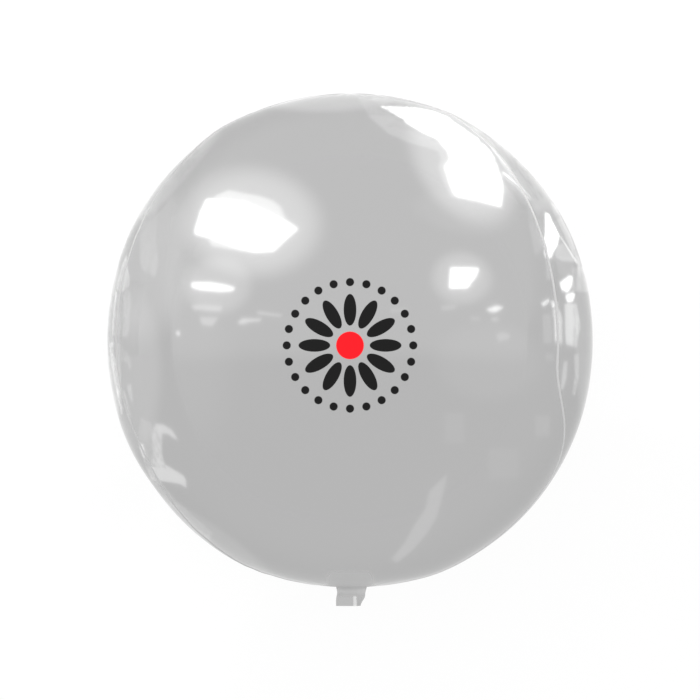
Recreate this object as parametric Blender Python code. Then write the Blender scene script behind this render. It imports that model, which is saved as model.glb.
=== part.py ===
"""Orb foil balloon, inflated and lying on its back, with its filling tail towards -Y.

Four panels of film are heat-sealed edge to edge: a wide front (up, +Z), a wide back (down) and two
narrow side gussets. The line from the tail to the crown lies along Y. Each seam sits in a shallow
valley between two bulging panels and carries a low fin where the two films are welded flat together.
Metres, +Z up. The origin is under the middle of the balloon, on the surface that it lies on.
"""

import math

import bmesh
import bpy
from mathutils import Vector

# Ball
BALL_WIDTH = 0.380  # across the equator
BALL_HEIGHT = 0.3855  # from crown to neck
SHOULDER_POWER = 2.05  # 2 gives an ellipse, more gives fuller shoulders

# Panels, as turns about the line from crown to neck, seen from the crown
FRONT_HALF_ANGLE = math.radians(65.2)  # middle of the front panel to its seams, at the equator
CROWN_HALF_ANGLE = math.radians(84.0)  # the same at crown and neck, where the gussets run out
CLOSING_POWER = 4.0  # how late on its way to a pole a seam swings to the side
PANEL_TURN = math.radians(-7.5)  # the front panel's middle looks a little to -X
LOWER_TWIST = math.radians(5.0)  # all panels wind round to +X below the equator
RIGHT_SEAM_DRIFT = math.radians(17.0)  # the front right seam wanders on towards the side there
TWIST_START = 0.08  # share of the way from equator to neck where winding starts
TWIST_END = 0.62  # share of the way where it is complete

# Seams
VALLEY_DEPTH = 0.0030  # how far a seam lies below the bulge of its panels
WIDE_BULGE_POWER = 4.0  # a wide panel stays round and drops near its seams
GUSSET_BULGE_POWER = 2.0  # a narrow one is arched all the way across
FIN_HEIGHT = 0.0016
FIN_THICKNESS = 0.0008
FIN_FADE_RADIUS = 0.030  # closer than this to the middle of crown or neck, a fin starts to sink in
FIN_END_RADIUS = 0.015  # and here it is gone

# Filling tail
TAIL_LENGTH = 0.0150
TAIL_FACE_WIDTH = 0.0152  # the flat part that faces up
TAIL_FACE_OFFSET = -0.0033  # middle of the flat part, from the middle of the neck
TAIL_FLAP_WIDTH = 0.0090  # the rest of the width, folded down along a crease
TAIL_THICKNESS = 0.0008
FLAP_STRAIGHT_LENGTH = 0.0063  # the flap starts to curl this far below the neck
FLAP_NECK_FOLD = math.radians(35.0)
FLAP_END_FOLD = math.radians(68.0)
TAIL_ROOT_DEPTH = 0.0040  # how far the tail runs on into the ball

# The flat on the back where the ball rests
REST_SPOT_RADIUS = 0.030

# Facets
ROWS = 48  # from neck to crown
WIDE_PANEL_COLUMNS = 24
GUSSET_COLUMNS = 10
SEAM_CROWDING = 0.5  # 0 spaces a panel's columns evenly, 1 crowds them towards its seams
POLE_MARGIN = math.radians(3.0)  # the last row before each pole
FLAP_CURL_STEPS = 4
SHARP_ANGLE = math.radians(30.0)

FILM_COLOUR = (0.468, 0.468, 0.468, 1.0)
FILM_ROUGHNESS = 0.12
FILM_METALLIC = 0.55

HALF_WIDTH = BALL_WIDTH / 2
HALF_HEIGHT = BALL_HEIGHT / 2


def ease(value, start, end):
    """0 up to start, 1 from end, and a smooth curve between them."""
    share = min(1.0, max(0.0, (value - start) / (end - start)))
    return share * share * (3 - 2 * share)


def profile(latitude):
    """Distance from the crown-to-neck line and place along it, on the smooth ball without seams."""
    power = 2 / SHOULDER_POWER
    radius = HALF_WIDTH * math.cos(latitude) ** power
    along = math.copysign(HALF_HEIGHT * abs(math.sin(latitude)) ** power, latitude)
    return radius, along


def outward(radius, along):
    """Radial and lengthwise share of the ball's outward direction at that place on the profile."""
    steepness = SHOULDER_POWER - 1
    radial = (radius / HALF_WIDTH) ** steepness / HALF_WIDTH
    lengthwise = math.copysign((abs(along) / HALF_HEIGHT) ** steepness / HALF_HEIGHT, along)
    size = math.hypot(radial, lengthwise)
    return radial / size, lengthwise / size


def seam_angles(latitude):
    """The four seams' turns from straight up towards +X: front left, front right, back right, back left."""
    closing = abs(math.sin(latitude)) ** CLOSING_POWER
    half = FRONT_HALF_ANGLE + (CROWN_HALF_ANGLE - FRONT_HALF_ANGLE) * closing
    wound = ease(-math.sin(latitude), TWIST_START, TWIST_END)
    middle = PANEL_TURN + LOWER_TWIST * wound
    drift = RIGHT_SEAM_DRIFT * wound * (1 - closing)
    return middle - half, middle + half + drift, middle + math.pi - half, middle + math.pi + half


def surface_point(latitude, angle, raised):
    """A point of the film, raised above the smooth ball by so much."""
    radius, along = profile(latitude)
    radial, lengthwise = outward(radius, along)
    reach = radius + raised * radial
    return Vector((reach * math.sin(angle), along + raised * lengthwise, reach * math.cos(angle)))


def ring(latitude):
    """One closed row of points round the ball: for each seam its fin, then the panel that follows it."""
    radius, _ = profile(latitude)
    seams = seam_angles(latitude)
    nearness = radius / HALF_WIDTH
    valley = VALLEY_DEPTH * nearness
    fin = FIN_HEIGHT * ease(radius, FIN_END_RADIUS, FIN_FADE_RADIUS)
    half_fin = FIN_THICKNESS / 2 / radius
    points = []
    for number, seam in enumerate(seams):
        wide = number % 2 == 0
        following = seams[number + 1] if number < 3 else seams[0] + math.tau
        for side, raised in ((-1, 0.0), (-1, fin), (1, fin), (1, 0.0)):
            points.append(surface_point(latitude, seam + side * half_fin, raised - valley))
        columns = WIDE_PANEL_COLUMNS if wide else GUSSET_COLUMNS
        power = WIDE_BULGE_POWER if wide else GUSSET_BULGE_POWER
        start = seam + half_fin
        span = following - half_fin - start
        for column in range(1, columns):
            even = 2 * column / columns - 1
            across = even + SEAM_CROWDING * (math.sin(math.pi / 2 * even) - even)
            angle = start + span * (1 + across) / 2
            points.append(surface_point(latitude, angle, -valley * abs(across) ** power))
    return points


def ball():
    """The inflated skin as a closed mesh: rings joined by quads, and a fan of triangles at each pole."""
    mesh = bmesh.new()
    first = -math.pi / 2 + POLE_MARGIN
    step = (math.pi - 2 * POLE_MARGIN) / ROWS
    rings = [[mesh.verts.new(p) for p in ring(first + step * row)] for row in range(ROWS + 1)]
    count = len(rings[0])
    for lower, upper in zip(rings, rings[1:]):
        for i in range(count):
            j = (i + 1) % count
            mesh.faces.new((lower[i], lower[j], upper[j], upper[i]))
    neck = mesh.verts.new((0.0, -HALF_HEIGHT, 0.0))
    crown = mesh.verts.new((0.0, HALF_HEIGHT, 0.0))
    for i in range(count):
        j = (i + 1) % count
        mesh.faces.new((rings[0][j], rings[0][i], neck))
        mesh.faces.new((rings[-1][i], rings[-1][j], crown))
    bmesh.ops.recalc_face_normals(mesh, faces=mesh.faces)
    for face in mesh.faces:
        face.smooth = True
    for edge in mesh.edges:
        edge.smooth = edge.calc_face_angle() < SHARP_ANGLE
    return mesh


def rest_height():
    """How high the ball's middle stands over the flat spot."""
    return math.sqrt(HALF_WIDTH**2 - REST_SPOT_RADIUS**2)


def flatten_back(mesh):
    """Cuts the round of the back off level, and closes the cut with one flat face."""
    cut = bmesh.ops.bisect_plane(
        mesh,
        geom=mesh.verts[:] + mesh.edges[:] + mesh.faces[:],
        plane_co=(0.0, 0.0, -rest_height()),
        plane_no=(0.0, 0.0, -1.0),
        clear_outer=True,
    )
    rim = [e for e in cut["geom_cut"] if isinstance(e, bmesh.types.BMEdge)]
    bmesh.ops.contextual_create(mesh, geom=rim)
    bmesh.ops.recalc_face_normals(mesh, faces=mesh.faces)
    for edge in rim:
        edge.smooth = False


def tail_section(below_neck):
    """Outline of the flattened tail that far below the neck: a level strip, then the flap folded down."""
    curl = ease(below_neck, FLAP_STRAIGHT_LENGTH, TAIL_LENGTH)
    fold = FLAP_NECK_FOLD + (FLAP_END_FOLD - FLAP_NECK_FOLD) * curl
    left = TAIL_FACE_OFFSET - TAIL_FACE_WIDTH / 2
    crease = TAIL_FACE_OFFSET + TAIL_FACE_WIDTH / 2
    top = TAIL_THICKNESS / 2
    miter = TAIL_THICKNESS * math.tan(fold / 2)
    flap = Vector((math.cos(fold), 0.0, -math.sin(fold)))
    under = Vector((-math.sin(fold), 0.0, -math.cos(fold)))
    along = -HALF_HEIGHT - below_neck
    edge = Vector((crease, along, top)) + flap * TAIL_FLAP_WIDTH
    return [
        Vector((left, along, top)),
        Vector((crease, along, top)),
        edge,
        edge + under * TAIL_THICKNESS,
        Vector((crease - miter, along, -top)),
        Vector((left, along, -top)),
    ]


def tail():
    """The filling tail, from its root inside the ball to its open end, pressed flat."""
    mesh = bmesh.new()
    stations = [-TAIL_ROOT_DEPTH]
    for step in range(FLAP_CURL_STEPS + 1):
        share = step / FLAP_CURL_STEPS
        stations.append(FLAP_STRAIGHT_LENGTH + (TAIL_LENGTH - FLAP_STRAIGHT_LENGTH) * share)
    sections = [[mesh.verts.new(p) for p in tail_section(s)] for s in stations]
    count = len(sections[0])
    for upper, lower in zip(sections, sections[1:]):
        for i in range(count):
            j = (i + 1) % count
            mesh.faces.new((upper[i], upper[j], lower[j], lower[i]))
    mesh.faces.new(sections[0])
    mesh.faces.new(sections[-1])
    bmesh.ops.recalc_face_normals(mesh, faces=mesh.faces)
    return mesh


def add_object(name, mesh):
    """Puts a finished mesh in the scene under its name."""
    data = bpy.data.meshes.new(name)
    mesh.to_mesh(data)
    mesh.free()
    made = bpy.data.objects.new(name, data)
    bpy.context.scene.collection.objects.link(made)
    return made


def pearl_film():
    """Pearl-grey metallised film, glossy."""
    material = bpy.data.materials.new("pearl_film")
    material.use_nodes = True
    shader = material.node_tree.nodes["Principled BSDF"]
    shader.inputs["Base Color"].default_value = FILM_COLOUR
    shader.inputs["Roughness"].default_value = FILM_ROUGHNESS
    shader.inputs["Metallic"].default_value = FILM_METALLIC
    material.diffuse_color = FILM_COLOUR
    return material


def make_envelope():
    """The ball with its flat back, joined to its tail, over the origin."""
    skin = ball()
    flatten_back(skin)
    envelope = add_object("envelope", skin)
    strip = add_object("tail_strip", tail())
    strip.hide_render = True
    strip.display_type = "WIRE"
    weld = envelope.modifiers.new("tail_weld", "BOOLEAN")
    weld.operation = "UNION"
    weld.object = strip
    envelope.data.materials.append(pearl_film())
    for piece in (envelope, strip):
        piece.location = (0.0, TAIL_LENGTH / 2, rest_height())


for old in list(bpy.data.objects):
    bpy.data.objects.remove(old)
make_envelope()
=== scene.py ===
# %% [markdown]
# # An orb foil balloon, lying on its back
#
# The balloon is one skin of thin plastic film with a metal coat and a pearl-grey lacquer. Four panels
# of film are heat-sealed along their edges: a wide front, a wide back and two narrow side gussets.
# Below the ball the front and back run on as a short flat tail, through which it is filled. The frame
# holds the balloon's solid. This lesson dresses it: a ball of film with real seams, a sleeve for the
# tail, a printed medallion, and a studio whose lights give the film something to mirror.

# %% Load the fixed frame
import math

import bpy
import numpy as np
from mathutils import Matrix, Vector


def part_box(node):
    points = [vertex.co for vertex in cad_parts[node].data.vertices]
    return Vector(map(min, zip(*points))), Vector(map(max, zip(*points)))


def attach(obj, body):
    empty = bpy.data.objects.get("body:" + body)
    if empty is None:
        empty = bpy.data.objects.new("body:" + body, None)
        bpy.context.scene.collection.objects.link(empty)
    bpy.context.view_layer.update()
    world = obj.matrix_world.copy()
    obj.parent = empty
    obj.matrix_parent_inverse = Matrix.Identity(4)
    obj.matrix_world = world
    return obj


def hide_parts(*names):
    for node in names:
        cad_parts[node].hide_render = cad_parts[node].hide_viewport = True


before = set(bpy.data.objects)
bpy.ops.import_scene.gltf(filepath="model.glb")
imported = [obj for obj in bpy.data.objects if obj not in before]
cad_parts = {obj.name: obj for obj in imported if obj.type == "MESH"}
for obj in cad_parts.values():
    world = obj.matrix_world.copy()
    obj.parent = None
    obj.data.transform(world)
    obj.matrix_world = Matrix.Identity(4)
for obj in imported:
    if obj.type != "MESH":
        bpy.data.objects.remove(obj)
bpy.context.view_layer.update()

# %% [markdown]
# ## Driving sizes
#
# A few real sizes carry everything else. What the frame can tell is read from it: the ball's width
# follows from the balloon's height over the floor, and its height from the box less the tail. The
# other sizes belong to the balloon's own making, in metres and degrees.

# %% Sizes of the ball
TAIL_LENGTH = 0.0150
REST_SPOT_RADIUS = 0.030
SHOULDER_POWER = 2.05  # 2 is an ellipse, more gives fuller shoulders
TAU = math.tau
MM = 1000  # millimetres in a metre, for what is printed

low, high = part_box("envelope")
HALF_WIDTH = (high.z**2 + REST_SPOT_RADIUS**2) / (2 * high.z)
HALF_HEIGHT = (high.y - low.y - TAIL_LENGTH) / 2
CENTRE = np.array((0.0, high.y - HALF_HEIGHT, high.z - HALF_WIDTH))
print(f"Ball {2 * HALF_WIDTH * MM:.1f} mm wide, {2 * HALF_HEIGHT * MM:.1f} mm from neck to crown")

# %% [markdown]
# ## The camera
#
# The camera looks straight down on the balloon's front, so its crown is at the top of the picture and
# the tail at the bottom. A long lens from six metres up keeps the ball's outline nearly as round as it
# is. It comes first, because the lights are placed later by asking what the film mirrors from here.

# %% Place the camera
PICTURE_SIZE = 700
LENS = 400.0
SENSOR = 36.0
CAMERA_DISTANCE = 6.084  # from the middle of the ball, so that the ball fills 486 pixels
FAR_END = 50.0  # beyond this the camera sees nothing

camera_data = bpy.data.cameras.new("camera")
camera_data.lens = LENS
camera_data.sensor_width = SENSOR
camera_data.clip_end = FAR_END
camera = bpy.data.objects.new("camera", camera_data)
camera.location = (0.0, 0.0, CENTRE[2] + CAMERA_DISTANCE)
bpy.context.scene.collection.objects.link(camera)
bpy.context.scene.camera = camera
print("Camera at", tuple(round(v, 4) for v in camera.location))

# %% [markdown]
# ## The shape of the film
#
# An inflated orb is a ball with slightly full shoulders, which a superellipse turned about the line
# from neck to crown describes. Its four seams are places where two panels meet in a shallow valley,
# shallower beside the front than beside the back. One function for the profile and one for the seams'
# turns give every point of the film, so the mesh, the creases and later the lights all agree on where
# the film is.


# %% Profile, seams and panels
FRONT_HALF_ANGLE = math.radians(65.2)  # the front panel's middle to its seams, at the equator
CROWN_HALF_ANGLE = math.radians(84.0)  # the same at crown and neck, where the gussets run out
CLOSING_POWER = 4.0  # how late on its way to a pole a seam swings to the side
PANEL_TURN = math.radians(-7.5)
LOWER_TWIST = math.radians(5.0)  # the panels wind round a little below the equator
RIGHT_SEAM_DRIFT = math.radians(17.0)
TWIST_START, TWIST_END = 0.08, 0.62  # shares of the way from equator to neck
VALLEY_DEPTHS = np.array((0.0005, 0.0005, 0.0030, 0.0030))  # front left, front right, back right, back left
BULGE_POWERS = np.array((4.0, 2.0, 4.0, 2.0))  # front, right gusset, back, left gusset
SEAMS = len(VALLEY_DEPTHS)


def ease(value, start, end):
    """0 up to start, 1 from end, and a smooth curve between them."""
    share = np.clip((value - start) / (end - start), 0, 1)
    return share * share * (3 - 2 * share)


def profile(latitude):
    """Distance from the neck-to-crown line, and place along it."""
    power = 2 / SHOULDER_POWER
    radius = HALF_WIDTH * np.abs(np.cos(latitude)) ** power
    return radius, np.copysign(HALF_HEIGHT * np.abs(np.sin(latitude)) ** power, latitude)


def seam_turns(latitude):
    """The turns of the four seams about the neck-to-crown line, from straight up towards +X."""
    closing = np.abs(np.sin(latitude)) ** CLOSING_POWER
    half = FRONT_HALF_ANGLE + (CROWN_HALF_ANGLE - FRONT_HALF_ANGLE) * closing
    wound = ease(-np.sin(latitude), TWIST_START, TWIST_END)
    middle = PANEL_TURN + LOWER_TWIST * wound
    drift = RIGHT_SEAM_DRIFT * wound * (1 - closing)
    return np.stack((middle - half, middle + half + drift, middle + math.pi - half, middle + math.pi + half))


def of_panel(rows, panel):
    """For each point its own value, out of one row of values for each panel."""
    return np.take_along_axis(rows, panel[None], 0)[0]


def panel_place(latitude, turn):
    """The panel of a point, how far across it from -1 to 1, and the distance to the nearer seam."""
    seams = seam_turns(latitude)
    starts = seams - seams[0]
    ends = np.concatenate((starts[1:], np.full_like(starts[:1], TAU)))
    beyond = (turn - seams[0]) % TAU
    panel = (beyond >= starts[1:]).sum(0)
    start, end = of_panel(starts, panel), of_panel(ends, panel)
    across = 2 * (beyond - start) / (end - start) - 1
    gap = (1 - np.abs(across)) * (end - start) / 2 * profile(latitude)[0]
    return panel, across, gap


def film_point(latitude, turn, raised=0.0):
    """Points of the film in the world, raised above the smooth ball by so much."""
    radius, along = profile(latitude)
    panel, across, _ = panel_place(latitude, turn)
    valley = VALLEY_DEPTHS[(panel + (across > 0)) % SEAMS] * radius / HALF_WIDTH
    raised = raised - valley * np.abs(across) ** BULGE_POWERS[panel]
    steepness = SHOULDER_POWER - 1
    radial = (radius / HALF_WIDTH) ** steepness / HALF_WIDTH
    lengthwise = np.copysign((np.abs(along) / HALF_HEIGHT) ** steepness / HALF_HEIGHT, along)
    size = np.hypot(radial, lengthwise)
    reach = radius + raised * radial / size
    local = np.stack((reach * np.sin(turn), along + raised * lengthwise / size, reach * np.cos(turn)), -1)
    return local + CENTRE


print("Seams at the equator, in degrees:", np.degrees(seam_turns(np.zeros(1))).ravel().round(1))

# %% [markdown]
# ## From a pixel of the picture to the film, and on to what it mirrors
#
# A glossy ball shows its surroundings, so a highlight is placed by turning the question round: a line
# from the camera through a pixel meets the film, and bounces off it by the mirror law. What glows on
# that bounced line shows at that pixel. The same first half of the trick lays a crease or a swell
# where the picture has one.


# %% Camera rays and their mirror image
HALVINGS = 40  # of the stretch of a ray in which the film lies
POLE_GAP = 1e-6  # keeps a latitude just short of the poles
NUDGE = 1e-4  # a small step of latitude or turn, to feel how the film lies
TEST_PIXELS = ((350, 340), (230, 225))  # the front's middle, and the window at the upper left


def meet_film(pixels):
    """Latitude and turn of the film that the camera sees at or nearest to pixels, and their rays."""
    pixels = np.atleast_2d(np.asarray(pixels, float))
    middle = PICTURE_SIZE / 2
    tilt = SENSOR / LENS / PICTURE_SIZE
    aside, up = (pixels[:, 0] - middle) * tilt, (middle - pixels[:, 1]) * tilt
    ray = np.stack((aside, up, -np.ones(len(pixels))), -1)
    ray /= np.linalg.norm(ray, axis=1)[:, None]
    eye = np.array(camera.location) - CENTRE
    after = -(ray @ eye)  # where the ray passes closest to the ball's middle
    before = after - 2 * HALF_HEIGHT
    for _ in range(HALVINGS):
        midway = (before + after) / 2
        point = eye + ray * midway[:, None]
        radius = np.hypot(point[:, 0], point[:, 2])
        lengthwise = (np.abs(point[:, 1]) / HALF_HEIGHT) ** SHOULDER_POWER
        reach = (radius / HALF_WIDTH) ** SHOULDER_POWER + lengthwise  # over 1 outside the ball
        before = np.where(reach > 1, midway, before)
        after = np.where(reach > 1, after, midway)
    point = eye + ray * after[:, None]
    share = np.clip(np.abs(point[:, 1]) / HALF_HEIGHT, 0, 1 - POLE_GAP) ** (SHOULDER_POWER / 2)
    return np.copysign(np.arcsin(share), point[:, 1]), np.arctan2(point[:, 0], point[:, 2]), ray


def mirror(pixels):
    """Where those pixels' rays meet the film, and the directions in which the film throws them on."""
    latitude, turn, ray = meet_film(pixels)
    up = film_point(latitude + NUDGE, turn) - film_point(latitude - NUDGE, turn)
    aside = film_point(latitude, turn + NUDGE) - film_point(latitude, turn - NUDGE)
    normal = np.cross(up, aside)
    normal /= np.linalg.norm(normal, axis=1)[:, None]
    normal *= np.sign((normal * (film_point(latitude, turn) - CENTRE)).sum(1))[:, None]
    thrown = ray - 2 * (ray * normal).sum(1)[:, None] * normal
    return film_point(latitude, turn), thrown


_, thrown = mirror(TEST_PIXELS)
print("The front's middle mirrors towards", thrown[0].round(2), "and its window towards", thrown[1].round(2))

# %% [markdown]
# ## Gathers, swells and slack
#
# Flat film can't become a ball without gathering: along each seam it draws into small puckers that run
# square to the weld and die out on the panel, and round neck and crown it pleats. Where the pleats end
# the film swells out a little, and between them it is drawn in, so the outline isn't a true round. The
# panels between are never quite even. All of it is about a millimetre high or less, yet a mirror shows
# it at once. Each is a short formula, with seeded random phases where there are many waves.

# %% Sizes of the relief
PUCKER_SPACINGS = (0.0085, 0.012, 0.017, 0.024)
PUCKER_RISES = np.array((0.0030, 0.0008, 0.0045, 0.0045))  # a seam's gathers, as shares of their spacing
PUCKER_REACH = 0.6  # how far they run, in spacings
PUCKER_FALL = 1.4  # how squarely they end
PUCKER_SWAY = 1.3  # how far they drift from even spacing, as a phase
SWAY_LENGTH = 4.3  # in spacings
SEAM_CALM_START, SEAM_CALM_END = 0.02, 0.06  # closer to a pole the pleats take over
PLEATS = ((26, 1.0, 0.7), (41, 0.6, 2.0), (17, 0.4, 0.0))  # how many round a pole, share of the rise, phase
PLEAT_RISE = 0.00020
PLEAT_REACH = 0.030
PLEAT_START, PLEAT_FULL = 0.002, 0.012  # distances from the pole
SLACK_RISE = 0.000053
SLACK_LENGTHS = (0.075, 0.16)  # the shortest and the longest wave
SLACK_WAVES = 9
SEED = 11
SWELLS = (  # pixel on the outline, rise, reach
    ((438.5, 571), 0.0012, 0.028),
    ((238, 561), 0.0010, 0.024),
    ((152.5, 489), -0.0013, 0.032),
    ((219, 131), 0.0012, 0.024),
    ((450.5, 115), 0.0013, 0.024),
)

random = np.random.default_rng(SEED)
pucker_phases = random.uniform(0, TAU, (SEAMS, len(PUCKER_SPACINGS), 2))
slack_waves = random.normal(size=(SLACK_WAVES, 3))
slack_lengths = random.uniform(*SLACK_LENGTHS, SLACK_WAVES)
slack_waves *= (TAU / slack_lengths / np.linalg.norm(slack_waves, axis=1))[:, None]
slack_phases = random.uniform(0, TAU, SLACK_WAVES)
swell_latitudes, swell_turns, _ = meet_film([pixel for pixel, _, _ in SWELLS])
swell_places = film_point(swell_latitudes, swell_turns)
print(len(PUCKER_SPACINGS), "waves of puckers beside each seam,", len(SWELLS), "swells in the outline")


# %% Height of the film above its smooth shape
def puckers(latitude, seam, gap):
    """Height of the small gathers beside a seam, at that distance from it."""
    along = latitude * HALF_HEIGHT
    raised = np.zeros_like(gap)
    for number, spacing in enumerate(PUCKER_SPACINGS):
        phase, wander = pucker_phases[seam, number].T
        sway = PUCKER_SWAY * np.sin(TAU * along / (spacing * SWAY_LENGTH) + wander)
        wave = np.sin(TAU * along / spacing + phase + sway)
        fall = np.exp(-((gap / (PUCKER_REACH * spacing)) ** PUCKER_FALL))
        raised += PUCKER_RISES[seam] * spacing * wave * fall
    return raised


def pleats(turn, radius):
    """Height of the pleats round neck and crown."""
    waves = sum(share * np.sin(count * turn + phase) for count, share, phase in PLEATS)
    fall = np.exp(-((radius / PLEAT_REACH) ** 2))
    return PLEAT_RISE * waves * fall * ease(radius, PLEAT_START, PLEAT_FULL)


def relief(latitude, turn):
    """Height of the film above its smooth shape."""
    panel, across, gap = panel_place(latitude, turn)
    radius, _ = profile(latitude)
    seam = (panel + (across > 0)) % SEAMS
    points = film_point(latitude, turn)
    raised = puckers(latitude, seam, gap) * ease(radius, SEAM_CALM_START, SEAM_CALM_END)
    raised += pleats(turn, radius) + SLACK_RISE * np.sin(points @ slack_waves.T + slack_phases).sum(1)
    for place, (_, rise, reach) in zip(swell_places, SWELLS):
        raised += rise * np.exp(-((points - place) ** 2).sum(1) / reach**2)
    return raised


print("Relief at the front's middle:", (relief(np.zeros(1), np.zeros(1)) * MM).round(3), "mm")

# %% [markdown]
# ## The ball of film
#
# The mesh starts as a UV sphere whose poles lie on neck and crown, because its columns run just as the
# seams do. Each column is led along a panel, closer together near the welds where the puckers are
# fine, and a narrow column is kept free for each weld. In edit mode those weld columns are extruded
# into the low fin that two films make where they are sealed flat together. Then every point, whose
# row, column and fin height travel with it as attributes, is laid on the film. The fins don't stand
# up: they lie over towards the gussets.

# %% A sphere with a column for each weld
ROWS = 250
PANEL_COLUMNS = (100, 46, 100, 46)
CROWDING = 0.5  # 0 spaces a panel's columns evenly, 1 crowds them towards its seams
POINT_COLUMNS = sum(PANEL_COLUMNS) + len(PANEL_COLUMNS)

column_panel, column_across = [], []
for number, count in enumerate(PANEL_COLUMNS):
    even = np.linspace(-1, 1, count + 1)
    column_panel += [number] * (count + 1)
    column_across += list(even + CROWDING * (np.sin(math.pi / 2 * even) - even))
column_panel, column_across = np.array(column_panel), np.array(column_across)


def choose(piece=None):
    """Deselects everything, then selects a piece and makes it the active one."""
    bpy.ops.object.select_all(action="DESELECT")
    if piece:
        piece.select_set(True)
        bpy.context.view_layer.objects.active = piece


choose()
bpy.ops.mesh.primitive_uv_sphere_add(
    segments=POINT_COLUMNS, ring_count=ROWS, radius=HALF_WIDTH, rotation=(-math.pi / 2, 0, 0)
)
ball = bpy.context.object
ball.name = ball.data.name = "foil_ball"
bpy.ops.object.transform_apply(location=True, rotation=True, scale=True)
print(f"Sphere with {len(ball.data.polygons)} faces in {POINT_COLUMNS} columns")


# %% Values that travel with the points
def read(mesh, name):
    """The places of a mesh's points, or a value stored with each point."""
    if name == "co":
        values = np.empty(len(mesh.vertices) * 3, np.float32)
        mesh.vertices.foreach_get("co", values)
        return values.reshape(-1, 3).astype(float)
    values = np.empty(len(mesh.vertices), np.float32)
    mesh.attributes[name].data.foreach_get("value", values)
    return values.astype(float)


def keep(mesh, name, values):
    """Stores a value with each point, so that it survives editing."""
    attribute = mesh.attributes.get(name) or mesh.attributes.new(name, "FLOAT", "POINT")
    attribute.data.foreach_set("value", np.asarray(values, np.float32))


def lay(mesh, points):
    """Moves a mesh's points to these places."""
    mesh.vertices.foreach_set("co", points.astype(np.float32).ravel())
    mesh.update()


mesh = ball.data
place = read(mesh, "co")
latitude = np.arcsin(np.clip(place[:, 1] / HALF_WIDTH, -1, 1))
column = np.rint(np.arctan2(place[:, 0], place[:, 2]) / TAU * POINT_COLUMNS).astype(int) % POINT_COLUMNS
keep(mesh, "latitude", latitude)
keep(mesh, "column", column)
keep(mesh, "fin", np.zeros(len(latitude)))
print("Rows run to", np.degrees(latitude.max()).round(1), "degrees, columns to", column.max())

# %% Extrude the welds into fins
FIN_END_RADIUS, FIN_FADE_RADIUS = 0.015, 0.030  # near a pole a fin sinks in from the second to the first
FIN_STEPS = 3


def in_weld(face):
    """Whether a face lies in the narrow column between two panels, away from the poles."""
    points = list(face.vertices)
    columns = list({int(c) for c in column[points]})
    between = len({*column_panel[columns]}) == 2 and (np.abs(column_across[columns]) == 1).all()
    return len(columns) == 2 and between and profile(latitude[points])[0].min() >= FIN_END_RADIUS


def pick(piece, kind, test):
    """Selects the edges or faces of a piece that pass a test, and enters edit mode."""
    mesh = piece.data
    bpy.ops.object.mode_set(mode="OBJECT")
    for items in (mesh.vertices, mesh.edges, mesh.polygons):
        items.foreach_set("select", np.zeros(len(items), bool))
    for item in mesh.edges if kind == "EDGE" else mesh.polygons:
        item.select = bool(test(item))
    bpy.context.tool_settings.mesh_select_mode = (False, kind == "EDGE", kind == "FACE")
    bpy.ops.object.mode_set(mode="EDIT")


choose(ball)
pick(ball, "FACE", in_weld)
for step in range(1, FIN_STEPS + 1):
    bpy.ops.object.mode_set(mode="EDIT")
    bpy.ops.mesh.extrude_region_move(TRANSFORM_OT_translate={"value": (0, 0, 0)})
    bpy.ops.object.mode_set(mode="OBJECT")
    on_top = np.zeros(len(mesh.vertices), bool)
    mesh.vertices.foreach_get("select", on_top)
    keep(mesh, "fin", np.where(on_top, step / FIN_STEPS, read(mesh, "fin")))
print("Fins raised in", FIN_STEPS, "steps, with", on_top.sum(), "points along their tips")

# %% Find each point's panel, seam and turn
FIN_HALF_THICKNESS = 0.00018
THICKNESS_FADE = 0.006  # closer to a pole than this, a weld narrows to nothing
SMALLEST_RADIUS = 1e-4  # stands in for the radius at the poles, where it would be nothing

latitude = read(mesh, "latitude")
column = read(mesh, "column").astype(int)
fin = read(mesh, "fin")
panel, across = column_panel[column], column_across[column]
seam = (panel + (across > 0)) % SEAMS
radius, _ = profile(latitude)
half_turn = FIN_HALF_THICKNESS / np.maximum(radius, SMALLEST_RADIUS) * radius**2
half_turn /= radius**2 + THICKNESS_FADE**2
seams = seam_turns(latitude)
following = np.concatenate((seams[1:], seams[:1] + TAU))
start = of_panel(seams, panel) + half_turn
end = of_panel(following, panel) - half_turn
turn = start + (end - start) * (1 + across) / 2
print("Points in each panel:", [int((panel == number).sum()) for number in range(len(PANEL_COLUMNS))])

# %% Lay every point on the film
FIN_HEIGHT = 0.0005
FIN_LEANS = np.array((-1.3, 1.3, -1.3, 1.3))  # sideways shift of a fin's tip, in its heights
FIN_THINNING = 0.55  # how much thinner its tip is
RUFFLE = 0.25  # how far its lean wavers, in its heights
RUFFLE_LENGTHS = (0.0210, 0.0137)
RUFFLE_PHASE = 2  # from one seam to the next
FLAT_SOFTNESS = 0.0005  # of the edge of the flat spot under the ball

fin_fade = ease(radius, FIN_END_RADIUS, FIN_FADE_RADIUS)
height = FIN_HEIGHT * fin * fin_fade
along = latitude * HALF_HEIGHT
slow, quick = (TAU * along / wave for wave in RUFFLE_LENGTHS)
ruffle = RUFFLE * np.sin(slow + RUFFLE_PHASE * seam) * np.sin(quick)
shift = (FIN_LEANS[seam] + ruffle) * height / np.maximum(radius, SMALLEST_RADIUS)
seam_turn = np.where(across > 0, end + half_turn, start - half_turn)
fin_turn = seam_turn + (turn - seam_turn) * (1 - FIN_THINNING * fin) + shift
points = film_point(latitude, turn, relief(latitude, turn) + height)
reach = np.hypot(points[:, 0] - CENTRE[0], points[:, 2] - CENTRE[2])
on_fin = fin > 0
points[on_fin, 0] = (CENTRE[0] + reach * np.sin(fin_turn))[on_fin]
points[on_fin, 2] = (CENTRE[2] + reach * np.cos(fin_turn))[on_fin]
points[:, 2] = FLAT_SOFTNESS * np.logaddexp(0, points[:, 2] / FLAT_SOFTNESS)
lay(mesh, points)
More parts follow.
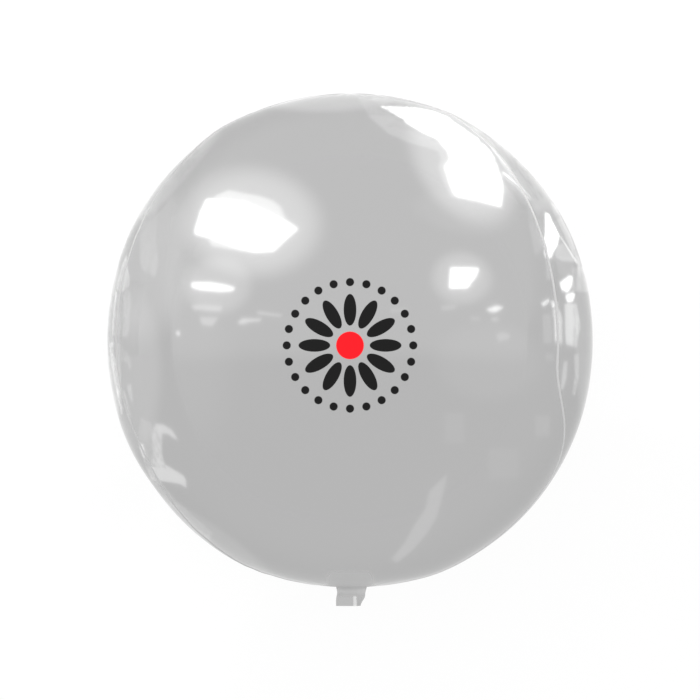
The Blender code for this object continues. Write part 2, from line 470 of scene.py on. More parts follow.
print(f"Ball of film: {len(mesh.vertices)} points, {len(mesh.polygons)} faces")

# %% Mark the welds, pale partly as a painted highlight, and the matt film above the tail
# The welds' pale colour is partly the milky pressed film and partly a painted highlight along the seam
# lines.
SEAM_PALENESS_AND_HIGHLIGHT = np.array((0.15, 0.37, 0.29, 0.29))  # the front left weld shows least
MATT_TOP, MATT_END = 0.019, 0.006  # how far above the neck the matt film starts and is complete
MATT_HALF_WIDTH, MATT_FADE_END = 0.013, 0.021  # how far to either side it is complete and has ended
SHARP_ANGLE = math.radians(50)


def smooth(piece):
    """Shades a piece smooth, apart from its sharp edges."""
    choose(piece)
    bpy.ops.object.shade_smooth_by_angle(angle=SHARP_ANGLE)


weld = np.maximum(fin, (np.abs(across) == 1) * fin_fade)
above_neck = points[:, 1] - (CENTRE[1] - HALF_HEIGHT)
matt = (1 - ease(above_neck, MATT_END, MATT_TOP)) * (points[:, 2] > CENTRE[2])
matt *= 1 - ease(np.abs(points[:, 0]), MATT_HALF_WIDTH, MATT_FADE_END)
keep(mesh, "weld", weld)
keep(mesh, "pale", SEAM_PALENESS_AND_HIGHLIGHT[seam] * weld)
keep(mesh, "dull", np.maximum(weld, matt))
keep(mesh, "along", along)
smooth(ball)
print("Share of the points on welds:", round(float((weld > 0).mean()), 3))

# %% [markdown]
# ## The filling tail
#
# The tail is a flat sleeve of the same film, welded along both sides and open at its end. It is folded
# back lengthwise, so the picture shows a level strip and beside it the flap going down. It starts as a
# thin box that is cut into a grid with subdivide, and its end face is inset and pushed in for the
# mouth. Then each point is led round the fold, and the root flares open into the ball. Cloth would
# fold too, but its crease wouldn't stay where the picture has it.

# %% A thin box with a mouth
TAIL_WIDTH = 0.0242
TAIL_LEFT = -0.0109
TAIL_FACE_WIDTH = 0.0152
TAIL_ROOT = 0.0060  # how far the sleeve runs on into the ball
FILM_GAP = 0.00045  # between the outsides of the two films
MOUTH_RIM = FILM_GAP / 4
MOUTH_DEPTH = 0.0040
CUTS_ACROSS, CUTS_ALONG = 63, 39
ALIGNED = 0.9  # from this share on, a direction counts as lying along an axis

choose()
bpy.ops.mesh.primitive_cube_add(size=1)
tail = bpy.context.object
tail.name = tail.data.name = "filling_tail"
tail.scale = (TAIL_WIDTH, TAIL_LENGTH + TAIL_ROOT, FILM_GAP)
tail.location = (TAIL_WIDTH / 2, -(TAIL_LENGTH - TAIL_ROOT) / 2, 0)
bpy.ops.object.transform_apply(location=True, rotation=True, scale=True)


def way(edge):
    """The direction in which an edge of the tail runs."""
    first, last = (tail.data.vertices[v].co for v in edge.vertices)
    return (last - first).normalized()


pick(tail, "FACE", lambda face: face.normal.y < -ALIGNED)
bpy.ops.mesh.inset(thickness=MOUTH_RIM, depth=0)
bpy.ops.mesh.extrude_region_move(TRANSFORM_OT_translate={"value": (0, MOUTH_DEPTH, 0)})
pick(tail, "EDGE", lambda edge: abs(way(edge).x) > ALIGNED)
bpy.ops.mesh.subdivide(number_cuts=CUTS_ACROSS)
pick(tail, "EDGE", lambda edge: abs(way(edge).y) > ALIGNED)
bpy.ops.mesh.subdivide(number_cuts=CUTS_ALONG)
bpy.ops.object.mode_set(mode="OBJECT")
print("Tail grid:", len(tail.data.polygons), "faces")

# %% Lead each point round the fold
FLAP_NECK_FOLD = math.radians(35.0)
FLAP_END_FOLD = math.radians(68.0)
FLAP_STRAIGHT_LENGTH = 0.0063  # the flap starts to curl this far below the neck
CREASE_RADIUS = 0.0011
WAIST = 0.0009  # how far the left edge is drawn in
WAIST_PLACE, WAIST_REACH = 0.0046, 0.0030
WAIST_POWER = 6  # how close to that edge it stays

place = read(tail.data, "co")
across, below = place[:, 0], -place[:, 1]
side = place[:, 2] / (FILM_GAP / 2)
share = across / TAIL_WIDTH
fold = FLAP_NECK_FOLD + (FLAP_END_FOLD - FLAP_NECK_FOLD) * ease(below, FLAP_STRAIGHT_LENGTH, TAIL_LENGTH)
past = across - TAIL_FACE_WIDTH
bent = np.clip(past / (CREASE_RADIUS * fold), 0, 1) * fold
straight = np.maximum(past - CREASE_RADIUS * fold, 0)
x = np.minimum(across, TAIL_FACE_WIDTH) + CREASE_RADIUS * np.sin(bent) + straight * np.cos(fold)
z = -CREASE_RADIUS * (1 - np.cos(bent)) - straight * np.sin(fold)
waist = WAIST * np.exp(-(((below - WAIST_PLACE) / WAIST_REACH) ** 2)) * (1 - share) ** WAIST_POWER
print("Folded strip is", round(float(x.max() - x.min()) * MM, 1), "mm wide")

# %% Part the films and flare the root
FLARE_RADIUS = 0.0110
FLARE_START, FLARE_END = -0.0015, 0.0065  # below the neck
SIDE_WELD = 0.0023  # its width
PILLOW_START, PILLOW_FULL = 0.0020, 0.0035  # distances from the tail's edges
PILLOW_RISE = 0.00027
MOUTH_START, MOUTH_PARTING = 0.0090, 0.00032  # the films part more towards the mouth

flare = 1 - ease(below, FLARE_START, FLARE_END)
edge_gap = np.minimum(across, TAIL_WIDTH - across)
parted = PILLOW_RISE + MOUTH_PARTING * ease(below, MOUTH_START, TAIL_LENGTH)
parted *= ease(edge_gap, PILLOW_START, PILLOW_FULL)
rounded = np.sqrt(np.clip(1 - (2 * share - 1) ** 2, 0, 1))
half_gap = side * (FILM_GAP / 2 + parted) + np.sign(side) * FLARE_RADIUS * rounded * flare**2
tilt = bent * (1 - flare)
tail_points = np.stack(
    (
        TAIL_LEFT + across * flare + x * (1 - flare) + waist + half_gap * np.sin(tilt),
        CENTRE[1] - HALF_HEIGHT - below,
        CENTRE[2] + z * (1 - flare) + half_gap * np.cos(tilt),
    ),
    -1,
)
lay(tail.data, tail_points)
print("Tail runs", (tail_points.min(0) * MM).round(1), "to", (tail_points.max(0) * MM).round(1), "mm")

# %% Mark the side welds, the neck seal and the crease, with painted light on the seal and a painted highlight on the crease
SIDE_WELD_START = 0.0018  # from the edge, where the weld starts to give way to open film
SIDE_WELD_SHARE, SIDE_PALENESS = 0.4, 0.15
NECK_SEAL = (0.0005, 0.0030, 0.0055, 0.0095)  # starts, is complete, starts to end, has ended
# The neck seal's paler colour is painted light, lightening the shade where the tail's root flares into the
# ball.
NECK_SEAL_SHARE, NECK_SEAL_PAINTED_LIGHT = 0.9, 0.27
NECK_MATT_END = (0.0045, 0.0090)  # the matt film of the neck starts to end, and has ended
# A pale matt stripe along the tail's fold is a painted highlight, where the bent film would catch light.
FOLD_HIGHLIGHT_MIDDLE = TAIL_FACE_WIDTH - 0.0006
FOLD_HIGHLIGHT_HALF_WIDTH, FOLD_HIGHLIGHT_SOFTNESS = 0.0014, 0.0005
FOLD_HIGHLIGHT_START, FOLD_HIGHLIGHT_FULL = 0.0060, 0.0085

side_weld = (1 - ease(edge_gap, SIDE_WELD_START, SIDE_WELD)) * (1 - flare)
neck_seal = ease(below, *NECK_SEAL[:2]) * (1 - ease(below, *NECK_SEAL[2:]))
crease = ease(FOLD_HIGHLIGHT_HALF_WIDTH - np.abs(across - FOLD_HIGHLIGHT_MIDDLE), 0, FOLD_HIGHLIGHT_SOFTNESS)
crease *= ease(below, FOLD_HIGHLIGHT_START, FOLD_HIGHLIGHT_FULL)
pressed = np.maximum(SIDE_WELD_SHARE * side_weld, NECK_SEAL_SHARE * neck_seal)
keep(tail.data, "weld", SIDE_WELD_SHARE * side_weld)
keep(tail.data, "pale", np.maximum.reduce((SIDE_PALENESS * side_weld, NECK_SEAL_PAINTED_LIGHT * neck_seal, crease)))
keep(tail.data, "dull", np.maximum.reduce((pressed, crease, 1 - ease(below, *NECK_MATT_END))))
keep(tail.data, "along", across)
smooth(tail)
print("Crease stands", round(FOLD_HIGHLIGHT_MIDDLE * MM, 1), "mm from the tail's left edge")

# %% [markdown]
# ## Pearl film
#
# The balloon is nylon film with a vapour-deposited aluminium coat under a pearl-grey lacquer, so one
# shader gives it: a metal, smooth enough to mirror a room and a little rough, in the lacquer's grey.
# Towards the outline a bare metal would turn white, and the lacquer holds that back, which the metal's
# edge tint gives. The welds are pressed flat and dull by the sealing bar with its fine ribs, and the
# film above the tail was held there and is as dull. Pressed film is a little milky, and the welds are
# made paler still as a painted highlight along the seams. The tail's neck seal is paler as painted light
# against the shade where its root flares, and the pale stripe along the tail's fold is a painted highlight.
# The print is matt ink, and three fine creases of the film are bumps of one or two tenths of a
# millimetre.


# %% Colours and node helpers
def linear(code):
    """The linear colour of an sRGB hex code, by the standard's own curve."""
    values = [int(code[i : i + 2], 16) / 255 for i in (1, 3, 5)]
    return tuple(v / 12.92 if v <= 0.04045 else ((v + 0.055) / 1.055) ** 2.4 for v in values) + (1.0,)


def feed(tree, node, inputs):
    """Gives a node's sockets, by name or number, their values or links them to what feeds them."""
    for name, value in inputs.items():
        if isinstance(value, bpy.types.NodeSocket):
            tree.links.new(value, node.inputs[name])
        else:
            node.inputs[name].default_value = value


def add_node(tree, kind, inputs=None, **settings):
    """Adds a node, feeds its inputs and returns its outputs."""
    node = tree.nodes.new("ShaderNode" + kind)
    for name, value in settings.items():
        setattr(node, name, value)
    feed(tree, node, inputs or {})
    return node.outputs


def calculate(tree, operation, *values, clamp=False):
    """The result of one step of arithmetic on sockets and numbers."""
    return add_node(tree, "Math", dict(enumerate(values)), operation=operation, use_clamp=clamp)[0]


def product(tree, first, *others):
    """Sockets and numbers multiplied together."""
    for other in others:
        first = calculate(tree, "MULTIPLY", first, other)
    return first


def vector(tree, operation, inputs):
    """The results of one step of arithmetic on vectors."""
    return add_node(tree, "VectorMath", inputs, operation=operation)


def towards(tree, share, first, second):
    """A number that goes from the first to the second as share goes from 0 to 1."""
    return calculate(tree, "MULTIPLY_ADD", share, calculate(tree, "SUBTRACT", second, first), first)


def ramp(tree, value, start, end, first, last):
    """A number that goes smoothly from first to last while value goes from start to end."""
    inputs = dict(enumerate((value, start, end, first, last)))
    return add_node(tree, "MapRange", inputs, interpolation_type="SMOOTHSTEP")[0]


def blend_colour(tree, share, first, second):
    """A colour that goes from the first to the second as share goes from 0 to 1."""
    return add_node(tree, "Mix", {0: share, 6: first, 7: second}, data_type="RGBA")[2]


def stored(tree, name):
    """A value stored with the points of the mesh."""
    return add_node(tree, "Attribute", attribute_name=name)["Fac"]


def new_material(name):
    """A new material, its node tree and its shader."""
    material = bpy.data.materials.new(name)
    material.use_nodes = True
    return material, material.node_tree, material.node_tree.nodes["Principled BSDF"]


print("Half of full sRGB grey is", round(linear("#808080")[0], 3), "of full light")

# %% The printed medallion
INK_BLACK = linear("#1a1a1a")
INK_RED = linear("#ff1c26")
PRINT_HEIGHT = 0.0035  # of its middle, towards the crown
RED_RADIUS = 0.0105
PETALS = 12
PETAL_MIDDLE, PETAL_HALF_LENGTH, PETAL_HALF_WIDTH = 0.0270, 0.0120, 0.0048
DOTS = 24
DOT_RING, DOT_RADIUS = 0.0480, 0.0031
INK_EDGE = 0.00025


def inside(tree, distance, size):
    """1 where distance is under size and 0 where it is over, with a fine soft edge."""
    return ramp(tree, distance, size - INK_EDGE, size + INK_EDGE, 1.0, 0.0)


def length(tree, first, second):
    """The length of a step with two parts at right angles."""
    square = product(tree, second, second)
    return calculate(tree, "SQRT", calculate(tree, "MULTIPLY_ADD", first, first, square))


def from_spoke(tree, radius, turn, count, middle):
    """Offsets along and across the nearest of so many spokes, from a spot on that spoke."""
    bend = calculate(tree, "PINGPONG", turn, math.pi / count)
    out = product(tree, radius, calculate(tree, "COSINE", bend))
    aside = product(tree, radius, calculate(tree, "SINE", bend))
    return calculate(tree, "SUBTRACT", out, middle), aside


def medallion(tree, coordinates):
    """Masks of the red and of the black ink, drawn in real sizes on the front of the ball."""
    x, up, depth = add_node(tree, "SeparateXYZ", {0: coordinates})
    y = calculate(tree, "SUBTRACT", up, PRINT_HEIGHT)
    front = calculate(tree, "GREATER_THAN", depth, float(CENTRE[2]))
    radius = length(tree, x, y)
    turn = calculate(tree, "ARCTAN2", x, y)
    out, aside = from_spoke(tree, radius, turn, PETALS, PETAL_MIDDLE)
    widened = product(tree, aside, PETAL_HALF_LENGTH / PETAL_HALF_WIDTH)
    petals = inside(tree, length(tree, out, widened), PETAL_HALF_LENGTH)
    out, aside = from_spoke(tree, radius, turn, DOTS, DOT_RING)
    dots = inside(tree, length(tree, out, aside), DOT_RADIUS)
    black = product(tree, calculate(tree, "MAXIMUM", petals, dots), front)
    return product(tree, inside(tree, radius, RED_RADIUS), front), black


print("Medallion", round(2 * (DOT_RING + DOT_RADIUS) * MM, 1), "mm wide")

# %% Creases
CREASES = (  # from pixel, to pixel, height, half width
    ((501, 173), (530, 198), 0.00020, 0.00070),
    ((492, 147), (513, 178), 0.00012, 0.00060),
    ((128, 455), (160, 505), 0.00012, 0.00060),
)


def crease_height(tree, coordinates, start, end, rise, half_width):
    """Height of a low ridge between two places on the film, tapering to its ends."""
    latitude, turn, _ = meet_film([start, end])
    first, last = film_point(latitude, turn)
    span = last - first
    away = vector(tree, "SUBTRACT", {0: coordinates, 1: first})[0]
    along = vector(tree, "DOT_PRODUCT", {0: away, 1: span / (span @ span)})["Value"]
    share = calculate(tree, "MULTIPLY", along, 1.0, clamp=True)  # between the two ends
    nearest = vector(tree, "SCALE", {0: span, "Scale": share})[0]
    distance = vector(tree, "DISTANCE", {0: away, 1: nearest})["Value"]
    scaled = calculate(tree, "DIVIDE", distance, half_width)
    fall = calculate(tree, "EXPONENT", product(tree, scaled, scaled, -1.0))
    taper = calculate(tree, "SINE", product(tree, share, math.pi))
    return product(tree, fall, taper, rise)


print(len(CREASES), "creases, up to", max(crease[2] for crease in CREASES) * MM, "mm high")

# %% The film's material
PEARL_GREY = linear("#b6b6b6")
MATT_GREY = linear("#b2b2b2")
# Milky white is the pressed film's colour, and it also serves as the painted highlight on welds and fold and
# the painted light on the neck seal.
MILKY_WHITE_AND_HIGHLIGHT = linear("#ececec")
EDGE_TINT = linear("#e1e1e1")
FILM_METALLIC, WELD_METALLIC = 0.92, 0.10  # the weld's milky film hides its metal
FILM_ROUGHNESS, WELD_ROUGHNESS, INK_ROUGHNESS = 0.10, 0.50, 0.60
FILM_SHINE = 0.12  # the lacquer's own gloss where no metal shows, held low as it is pressed dull there
RIB_SPACING = 0.0010  # a real sealing bar's ribs are about as far apart
RIB_RISE = 0.000015


def film_bump(tree, coordinates, creases):
    """The fine ribs that the sealing bar leaves in the welds, and creases."""
    ribs = calculate(tree, "SINE", product(tree, stored(tree, "along"), TAU / RIB_SPACING))
    height = product(tree, ribs, stored(tree, "weld"), RIB_RISE)
    for crease in creases:
        height = calculate(tree, "ADD", height, crease_height(tree, coordinates, *crease))
    return add_node(tree, "Bump", {"Height": height, "Strength": 1.0, "Distance": 1.0})[0]


def pearl_film(name, printed):
    """Metallised nylon film under a pearl-grey lacquer, a soft grey mirror that stays grey at its rim."""
    material, tree, shader = new_material(name)
    coordinates = add_node(tree, "TexCoord")["Object"]
    dull = stored(tree, "dull")
    colour = blend_colour(tree, dull, PEARL_GREY, MATT_GREY)
    colour = blend_colour(tree, stored(tree, "pale"), colour, MILKY_WHITE_AND_HIGHLIGHT)
    rough = towards(tree, dull, FILM_ROUGHNESS, WELD_ROUGHNESS)
    metallic = towards(tree, dull, FILM_METALLIC, WELD_METALLIC)
    if printed:
        red, black = medallion(tree, coordinates)
        inked = calculate(tree, "MAXIMUM", red, black)
        colour = blend_colour(tree, black, colour, INK_BLACK)
        colour = blend_colour(tree, red, colour, INK_RED)
        rough = towards(tree, inked, rough, INK_ROUGHNESS)
        metallic = towards(tree, inked, metallic, 0.0)
    bump = film_bump(tree, coordinates, CREASES if printed else ())
    looks = {"Base Color": colour, "Metallic": metallic, "Roughness": rough, "Normal": bump}
    feed(tree, shader, looks | {"Specular Tint": EDGE_TINT, "Specular IOR Level": FILM_SHINE})
    return material


ball.data.materials.append(pearl_film("pearl_film_printed", True))
tail.data.materials.append(pearl_film("pearl_film_plain", False))
for piece in (ball, tail):
    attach(piece, "root")
    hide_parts("envelope")
print("Materials:", [m.name for m in bpy.data.materials])

# %% [markdown]
# ## The studio
#
# The balloon lies on a softly glowing white table, under an even white light that is a little brighter
# from the crown's side and from the left. The film would then be a flat grey disc, as it mirrors the
# same white everywhere. What makes it look like a balloon is the room: windows, lamps and pale walls.
# Area lights could light it, but a mirror shows a lamp's own shape. So the lights are glowing cards,
# each thrown to its place by the mirror function from the outline that its glint has in the picture. A
# card adds its light to what is behind it, casts no shadow and isn't seen by the camera. Round windows
# and lamps lie wide soft glares, the haze that pearl flakes spread round a highlight.

# %% A glowing table
TABLE_SIZE = 12.0
TABLE_GLOW, TABLE_GLOW_TOP = 0.90, 0.985  # under the balloon, and beyond the crown
GLOW_START, GLOW_FULL = 0.05, 0.60  # how far towards the crown it changes
UNLIT_ACRYLIC = linear("#595959")  # low, because the table's glow already makes it white
WHITE_LIGHT = linear("#ffffff")


def white_acrylic():
    """Matt white acrylic lit from below, an even white that takes no shadow."""
    material, tree, shader = new_material("white_acrylic_table")
    _, up, _ = add_node(tree, "SeparateXYZ", {0: add_node(tree, "TexCoord")["Object"]})
    glow = ramp(tree, up, GLOW_START, GLOW_FULL, TABLE_GLOW, TABLE_GLOW_TOP)
    feed(tree, shader, {"Base Color": UNLIT_ACRYLIC, "Roughness": 1.0, "Specular IOR Level": 0.0})
    feed(tree, shader, {"Emission Color": WHITE_LIGHT, "Emission Strength": glow})
    return material


choose()
bpy.ops.mesh.primitive_plane_add(size=TABLE_SIZE, location=(0, 0, 0))
table = bpy.context.object
table.name = "table"
table.data.materials.append(white_acrylic())
print("Table of", TABLE_SIZE, "m glows", TABLE_GLOW, "to", TABLE_GLOW_TOP)

# %% Surrounding light
CROWN_LIGHT = 0.083
CROWN_LIGHT_START, CROWN_LIGHT_FULL = -0.17, -0.02  # how far a direction leans towards the crown
LEFT_LIGHT = 0.05
LEFT_LIGHT_START, LEFT_LIGHT_FULL = -0.75, -0.97  # how far it leans to the right, so to the left

world = bpy.data.worlds.new("soft_white_room")
bpy.context.scene.world = world
world.use_nodes = True
tree = world.node_tree
to_right, to_crown, _ = add_node(tree, "SeparateXYZ", {0: add_node(tree, "TexCoord")["Generated"]})
crown_light = ramp(tree, to_crown, CROWN_LIGHT_START, CROWN_LIGHT_FULL, 0.0, CROWN_LIGHT)
left_light = ramp(tree, to_right, LEFT_LIGHT_START, LEFT_LIGHT_FULL, 0.0, LEFT_LIGHT)
strength = calculate(tree, "ADD", calculate(tree, "ADD", crown_light, left_light), 1.0)
feed(tree, tree.nodes["Background"], {"Color": WHITE_LIGHT, "Strength": strength})
print("Light from all round 1.0, from the crown's side", 1 + CROWN_LIGHT)

# %% Windows and the right lamp, as the outlines of their glints
CARDS = {  # glow, outline in pixels
    "left_window": (1.7, [
        (206.5, 198.5), (221, 198), (245, 201), (267, 211), (284, 219.5), (298, 229), (284, 241.5),
        (274, 251.5), (255.5, 252.5), (240, 249), (214, 239.5), (195.5, 234.5), (194.5, 231.5),
        (200.5, 211.5),
    ]),
    "left_window_blind": (0.55, [
        (214, 196), (229.5, 189), (240, 191.5), (259, 195), (272.5, 200), (280, 206), (286, 219),
        (267, 210.5), (245, 200.5), (224, 197.5),
    ]),
    "left_window_sill": (0.50, [
        (208, 240), (212, 246.5), (230, 249.5), (252, 252), (274, 251), (255.5, 251.5), (240, 248.5),
        (214, 239),
    ]),
    "left_lamp": (1.7, [
        (192, 282.5), (210, 283), (226, 286), (235, 289), (232.5, 292), (221, 292.5), (202, 290.5),
        (192.5, 287.5),
    ]),
    "right_window": (2.6, [
        (381, 106), (397, 106), (415, 107.5), (430, 111.5), (444, 117.5), (467, 131), (478, 138), (488, 148),
        (494.5, 157.5), (498, 170), (500.5, 177), (501, 192), (499.5, 207.5), (478, 200.5), (457, 195.5),
        (452, 187), (445, 168.5), (451, 159.5), (448.5, 152.5), (437.5, 139), (423.5, 133), (405, 122),
        (405, 119.5), (392.5, 112.5),
    ]),
    "right_window_top": (0.5, [
        (466, 126), (478, 130.5), (490, 139), (496, 147), (489, 146.5), (478, 136.5), (468, 129),
    ]),
    "right_window_brow": (0.35, [
        (370, 97.5), (390, 98.5), (405, 101), (425, 106), (445, 114), (466, 126), (468, 129), (444, 117),
        (430, 111), (415, 107), (397, 105.5), (381, 105.5),
    ]),
    "right_window_veil": (0.22, [
        (358, 97), (370, 118), (388, 135), (408, 144), (424, 148), (438, 152), (441, 160), (438, 168),
        (446, 186), (452, 197), (457, 195.5), (445, 168.5), (451, 159.5), (448.5, 152.5), (437.5, 139),
        (423.5, 133), (405, 122), (392, 113), (380, 105.5), (374, 99),
    ]),
    "right_lamp": (2.2, [(451.5, 268), (480, 268), (476.5, 276.5), (468, 288.5), (450, 289)]),
}
print(len(CARDS), "outlines")

# %% Glints on the right gusset
CARDS |= {
    "gusset_window": (2.4, [
        (546, 212), (550, 214), (555, 225), (560, 236), (558, 246), (552, 258), (549, 258), (547, 253),
        (544.5, 245), (546, 228),
    ]),
    "gusset_window_side": (0.15, [(526, 205), (541, 207), (545, 250), (535, 256), (529, 230)]),
    "gusset_glare": (0.40, [(559, 246), (563, 243), (574, 262), (562, 262), (556, 258)]),
    "gusset_haze": (0.13, [(555, 257), (572, 257), (577, 275), (560, 276)]),
    "gusset_frame": (0.14, [
        (549.5, 212), (553, 213), (566, 237), (579, 262), (576, 261), (561, 236), (556, 227),
    ]),
    "gusset_edge": (1.1, [(560, 236), (561.5, 236), (578, 263), (575.5, 263.5)]),
    "gusset_side_low": (0.2, [(546.5, 262), (551, 262), (551.5, 280), (547.5, 280)]),
    "right_edge_band": (0.45, [
        (551, 202), (556, 207), (570, 235), (580, 262), (580, 290), (576.5, 291), (577, 264), (565.5, 237),
        (553, 211),
    ]),
    "gusset_lamp": (2.0, [
        (569.5, 276), (572.5, 277), (571.5, 286), (568, 293), (562.5, 290.5), (561, 284.5), (564.5, 280.5),
    ]),
    "gusset_lamp_low": (2.0, [(566, 296), (572.5, 293), (575, 294.5), (572.5, 301.5), (568, 302.5)]),
    "gusset_spot": (1.2, [(542, 303), (551, 297.5), (551, 301.5), (545.5, 306)]),
    "gusset_spot_low": (0.9, [(552.5, 300), (557, 301.5), (559, 307), (554.5, 308.5)]),
    "right_limb_haze": (0.28, [(571.5, 268), (583, 266), (588, 292), (572.5, 292)]),
    "right_pillar": (0.65, [
        (565.5, 304), (576.5, 304), (580, 328), (577.5, 338), (576.5, 346.5), (566.5, 343.5),
    ]),
    "right_pillar_left": (0.55, [(556, 311), (560, 308.5), (563.5, 318), (563.5, 343.5), (556.5, 342)]),
    "right_pillar_faint": (0.15, [(544.5, 314), (553, 314), (554, 343.5), (545, 345)]),
    "right_post": (0.35, [(564.5, 360.5), (568, 360.5), (566.5, 377.5), (563, 388.5), (560.5, 387.5)]),
    "right_post_outer": (0.38, [
        (574, 353.5), (578.5, 353.5), (579, 377.5), (575.5, 394.5), (572.5, 393), (575, 374.5),
    ]),
    "right_post_inner": (0.10, [(547, 354), (555, 354), (555, 361), (547, 361)]),
}
print(len(CARDS), "outlines")

# %% Small far lamps and shelves across the front
CARDS |= {
    "right_spark": (1.3, [(485.5, 310), (495, 305.5), (502.5, 306.5), (496.5, 311), (491.5, 312.5)]),
    "right_spark_low": (0.5, [(490, 318.5), (497.5, 318.5), (497, 320.5), (491, 320.5)]),
    "far_bar": (0.2, [(442, 306.5), (457, 305.5), (457, 309.5), (443, 311.5)]),
    "far_bar_left": (0.15, [(388, 310), (406, 309), (408, 312), (391, 313.5)]),
    "far_bar_low": (0.15, [(471, 317), (480, 317), (480, 321), (471, 321)]),
    "far_spot": (0.2, [(495, 334), (501, 332), (509, 334.5), (508, 339), (497, 341.5)]),
    "low_patch": (0.05, [(443, 413), (463, 413), (463, 443), (443, 443)]),
    "low_patch_right": (0.04, [(489, 448), (519, 448), (519, 479), (489, 479)]),
    "low_patch_far": (0.07, [(535, 415), (549, 415), (549, 436), (535, 436)]),
    "left_shelf": (0.32, [(193.5, 304.5), (222.5, 307.5), (221, 312.5), (194, 310)]),
    "left_shelf_low": (0.35, [(200, 317.5), (219, 318.5), (213, 327), (203, 325.5)]),
    "left_bar": (0.5, [(257, 312.5), (283, 316), (281, 317.5), (258, 315)]),
    "left_bar_low": (0.6, [
        (241.5, 319.5), (262, 320), (260, 322.5), (250, 323), (243, 325.5), (237, 324.5),
    ]),
    "left_spot": (0.9, [(177, 332), (180.5, 332), (181, 335), (179, 337), (176.5, 335)]),
}
print(len(CARDS), "outlines")

# %% Frame, curtain and edges on the left, and a low band
CARDS |= {
    "left_frame": (0.5, [
        (156.5, 424), (164, 424.5), (172.5, 430), (178, 439.5), (174.5, 438.5), (167.5, 433.5), (162.5, 434),
        (162, 455), (165, 465), (182.5, 475), (186, 480), (186, 488), (180, 484.5), (159.5, 480),
        (151, 468.5), (152.5, 451.5), (153, 430),
    ]),
    "left_frame_haze": (0.2, [
        (141, 418), (153, 424), (152.5, 452), (151, 468.5), (159.5, 480), (150, 480), (143, 462), (138, 440),
    ]),
    "left_frame_outer": (0.9, [(139.5, 446), (143.5, 446.5), (144, 458), (141, 455)]),
    "low_band": (0.16, [
        (447, 473), (445, 485), (436.5, 517.5), (426, 535), (412.5, 550.5), (397, 563.5), (391.5, 559),
        (403.5, 543.5), (412.5, 526.5), (424.5, 509), (429.5, 490),
    ]),
    "left_gusset_band": (0.20, [
        (147, 462), (156, 476), (170, 494), (190, 513), (213, 533), (209, 540), (190, 526), (168, 504),
        (150, 480),
    ]),
    "left_curtain": (0.17, [
        (143, 196), (139, 230), (139, 259), (140.5, 267), (144, 272), (155, 277), (158, 262), (156, 240),
        (157, 200),
    ]),
    "left_curtain_edge": (0.12, [(144, 210), (149, 210), (149, 273), (144, 271), (141, 262), (141, 240)]),
    "left_rim_patch": (0.6, [
        (126, 254.5), (127.5, 258), (127.5, 274), (129, 277.5), (128.5, 286), (123, 289.5), (116.5, 289),
        (118, 278), (121.5, 265),
    ]),
    "left_rim_line": (0.75, [
        (115.5, 290), (116.5, 292), (115, 309), (113.5, 324), (112.5, 335), (111, 335), (111.5, 322),
        (113, 306),
    ]),
    "left_rim_band": (0.28, [(117, 292), (119.5, 292), (121, 332), (113, 335), (114, 324), (115.5, 309)]),
    "left_rim_inner": (0.35, [
        (127, 289), (131, 293), (130, 309), (129, 324), (127.5, 335.5), (122.5, 335.5), (122.5, 324),
        (123, 293.5),
    ]),
    "left_rim_lower": (0.6, [
        (108.5, 342.5), (114, 342.5), (113.5, 353), (115.5, 366), (118, 383), (120.5, 398), (122, 414),
        (121, 414), (117.5, 400), (114, 383), (111, 366), (109.5, 353),
    ]),
    "left_rim_spark": (0.5, [(115, 387), (118, 387), (119.5, 397), (117, 398)]),
    "left_rim_second": (0.25, [
        (115.5, 345), (118.5, 345), (119.5, 368), (122, 395), (119.5, 390), (117.5, 372),
    ]),
    "left_rim_third": (0.17, [(120, 347), (123, 347.5), (123, 360), (120.5, 360)]),
    "left_rim_blot": (0.27, [
        (123.5, 349), (127.5, 352), (130.5, 359), (131.5, 368), (128.5, 368), (127.5, 362), (123.5, 360.5),
    ]),
    "left_rim_blot_low": (0.36, [
        (127.5, 384), (131.5, 383.5), (133.5, 402), (130.5, 402), (129, 395), (127, 389.5),
    ]),
    "left_rim_tip": (0.35, [(122, 391), (124, 391), (127, 402.5), (130, 416), (128, 416.5), (125, 403)]),
}
print(len(CARDS), "outlines")

# %% Light caught by the creases
CARDS |= {
    "crease_glint": (2.0, [
        (501, 172), (503.5, 172), (516, 181.5), (531, 197), (529.5, 199), (514, 185), (502, 175),
    ]),
    "seam_glint": (1.2, [(491, 146), (493, 146), (502.5, 159), (514, 177), (512.5, 178.5), (500.5, 161)]),
}
print(len(CARDS), "outlines")

# %% Soft ovals of haze and glare
GLARES = {  # glow, middle, half width and half height in pixels, turn in degrees
    "left_glare": (0.41, (252, 222), (81, 65), 6),
    "left_glare_low": (0.22, (218, 286), (40, 34), 0),
    "right_glare": (0.40, (461, 165), (78, 48), 50),
    "right_low_glare": (0.06, (462, 212), (58, 24), 12),
    "right_lamp_glare": (0.24, (462, 278), (36, 32), 0),
    "right_shoulder": (0.36, (524, 172), (58, 24), 54),
    "left_shoulder": (0.19, (176, 170), (95, 15), -48),
    "left_edge": (0.24, (113, 345), (9, 150), 0),
    "right_edge": (0.12, (584, 320), (11, 110), 0),
    "crown_glare": (0.27, (322, 95), (84, 20), 0),
    "left_foot": (0.09, (218, 543), (90, 15), 36),
    "left_wall_low": (0.13, (136, 376), (30, 94), 0),
    "left_wall": (0.16, (142, 252), (56, 104), 0),
    "right_wall": (0.05, (490, 362), (64, 46), 0),
}
print(len(GLARES), "soft ovals drawn")

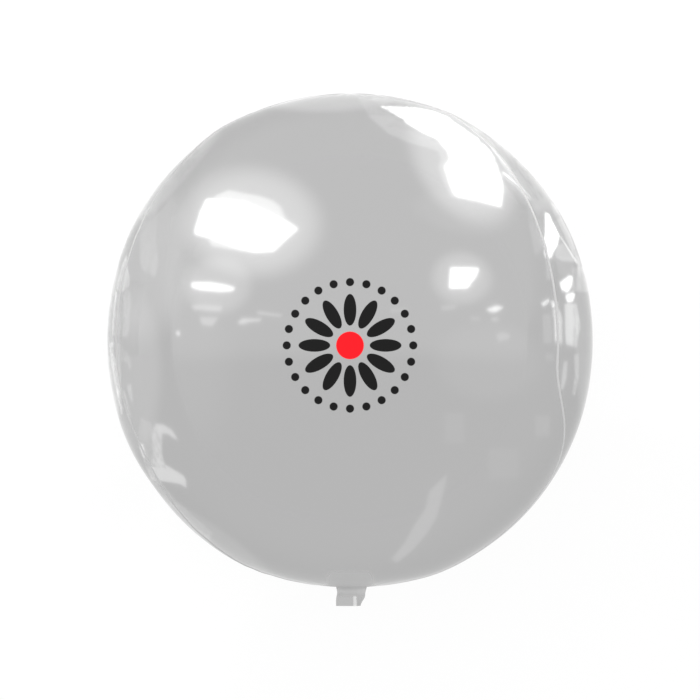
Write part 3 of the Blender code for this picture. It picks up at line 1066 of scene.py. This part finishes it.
# %% Throw the cards to where the film mirrors them
CARD_DISTANCE = 0.60
CARD_CLEARANCE = 0.012  # a card that would reach the table stops this far above it
SLIGHTEST_DROP = 1e-6  # stands in where a direction doesn't drop at all
CARD_CUTS = 3  # so that a card can bend when it is thrown
GLARE_CELLS = 28
GLARE_SPAN = 2  # its width before it is drawn out, from -1 to 1
GLARE_SOFTNESS = 0.7  # the share of an oval's area in which it fades


def card_light():
    """A lamp's glow, added to what is behind it."""
    material, tree, shader = new_material("card_light")
    tree.nodes.remove(shader)
    light = add_node(tree, "Emission", {"Strength": stored(tree, "glow")})[0]
    clear = add_node(tree, "BsdfTransparent")[0]
    both = add_node(tree, "AddShader", {0: light, 1: clear})[0]
    feed(tree, tree.nodes["Material Output"], {"Surface": both})
    return material


def hang(card, glow):
    """Throws a card drawn in pixels to where the film mirrors it, and gives its points their glow."""
    start, thrown = mirror(read(card.data, "co")[:, :2] * (1, -1))
    drop = np.maximum(-thrown[:, 2], SLIGHTEST_DROP)
    reach = np.minimum(CARD_DISTANCE, (start[:, 2] - CARD_CLEARANCE) / drop)
    lay(card.data, start + thrown * reach[:, None])
    keep(card.data, "glow", glow)
    card.data.materials.append(glowing)
    card.visible_camera = False
    card.visible_shadow = False


def add_card(name, glow, outline):
    """A glowing card that the film mirrors to this outline."""
    mesh = bpy.data.meshes.new(name)
    mesh.from_pydata([(px, -py, 0.0) for px, py in outline], [], [range(len(outline))])
    card = bpy.data.objects.new(name, mesh)
    bpy.context.scene.collection.objects.link(card)
    choose(card)
    bpy.ops.object.mode_set(mode="EDIT")
    bpy.ops.mesh.select_all(action="SELECT")
    bpy.ops.mesh.quads_convert_to_tris()
    bpy.ops.mesh.subdivide(number_cuts=CARD_CUTS)
    bpy.ops.object.mode_set(mode="OBJECT")
    hang(card, np.full(len(mesh.vertices), glow))


def add_glare(name, glow, middle, half_size, degrees):
    """A card whose glow fades from its middle to its oval edge."""
    choose()
    bpy.ops.mesh.primitive_grid_add(x_subdivisions=GLARE_CELLS, y_subdivisions=GLARE_CELLS, size=GLARE_SPAN)
    card = bpy.context.object
    card.name = card.data.name = name
    flat = read(card.data, "co")[:, :2]
    fade = ease(1 - (flat**2).sum(1), 0.0, GLARE_SOFTNESS)
    cosine, sine = math.cos(math.radians(degrees)), math.sin(math.radians(degrees))
    turned = flat * half_size @ np.array(((cosine, sine), (-sine, cosine))) + middle
    lay(card.data, np.stack((turned[:, 0], -turned[:, 1], 0 * fade), -1))
    hang(card, glow * fade)


glowing = card_light()
for name, (glow, outline) in CARDS.items():
    add_card(name, glow, outline)
for name, values in GLARES.items():
    add_glare(name, *values)
print(len(CARDS) + len(GLARES), "cards hung")

# %% [markdown]
# ## Finish
#
# The picture keeps the plain standard colours.

# %% Colours
bpy.context.scene.view_settings.view_transform = "Standard"
